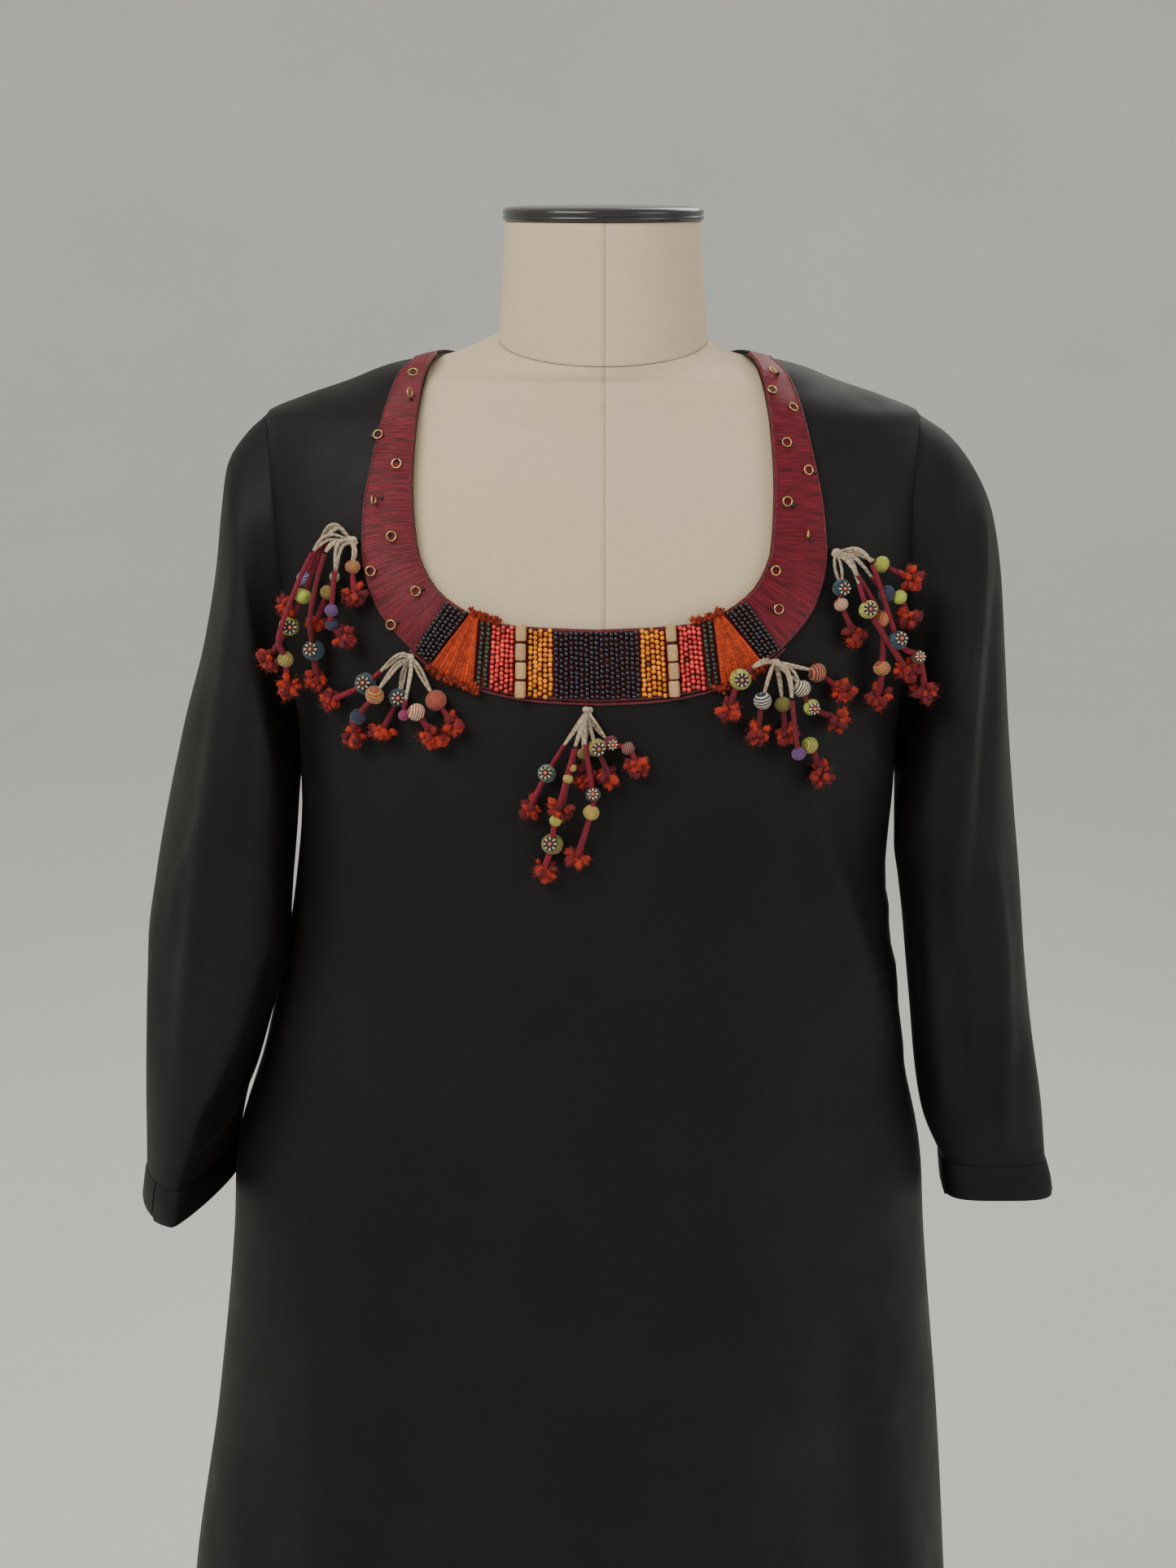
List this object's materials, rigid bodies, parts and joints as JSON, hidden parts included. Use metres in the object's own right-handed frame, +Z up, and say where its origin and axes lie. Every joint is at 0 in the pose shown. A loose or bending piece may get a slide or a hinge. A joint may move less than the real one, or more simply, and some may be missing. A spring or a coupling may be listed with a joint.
{
  "type": "silk tunic on a limbless dress form",
  "caption": "Long black silk tunic with side vents and a beaded, tasselled scoop neck, worn by a linen dress form on a round base.",
  "frame": {"origin": "centre of the round base's underside, on the floor", "axes": "+Z up through the pole and the neck, -Y towards the viewer of the front, +X to the viewer's right"},
  "size_m": [0.5972, 0.38, 1.55],
  "materials": {
    "black_silk": "soft low sheen",
    "maroon_satin_stitch": "satin",
    "navy_beads": "gloss",
    "orange_beads": "gloss",
    "coral_beads": "gloss",
    "green_beads": "gloss",
    "black_beads": "gloss",
    "orange_wool": "matte",
    "bone": "satin bone",
    "brass_wire": "satin",
    "tassel_yarn": "matte",
    "linen": "matte",
    "black_lacquer": "gloss lacquer",
    "dark_iron": "satin black"
  },
  "bodies": {
    "root": {"front": "black_silk", "back": "black_silk", "left_sleeve": "black_silk", "right_sleeve": "black_silk", "left_cuff": "black_silk", "right_cuff": "black_silk", "back_neck_binding": "black_silk", "neck_band": "maroon_satin_stitch", "navy_beads": "navy_beads", "left_orange_beads": "orange_beads", "left_coral_beads": "coral_beads", "left_green_beads": "green_beads", "left_wool_wedge": "orange_wool", "left_black_beads": "black_beads", "left_bone_beads": "bone", "right_orange_beads": "orange_beads", "right_coral_beads": "coral_beads", "right_green_beads": "green_beads", "right_wool_wedge": "orange_wool", "right_black_beads": "black_beads", "right_bone_beads": "bone", "ring_01": "brass_wire", "ring_02": "brass_wire", "ring_03": "brass_wire", "ring_04": "brass_wire", "ring_05": "brass_wire", "ring_06": "brass_wire", "ring_07": "brass_wire", "ring_08": "brass_wire", "ring_09": "brass_wire", "ring_10": "brass_wire", "ring_11": "brass_wire", "ring_12": "brass_wire", "ring_13": "brass_wire", "ring_14": "brass_wire", "ring_15": "brass_wire", "ring_16": "brass_wire", "ring_17": "brass_wire", "ring_18": "brass_wire", "tassels_1": "tassel_yarn", "tassels_2": "tassel_yarn", "tassels_3": "tassel_yarn", "tassels_4": "tassel_yarn", "tassels_5": "tassel_yarn", "form_torso": "linen", "form_neck": "linen", "form_cap": "black_lacquer", "form_pole": "dark_iron", "form_base": "dark_iron"}
  },
  "joints": []
}
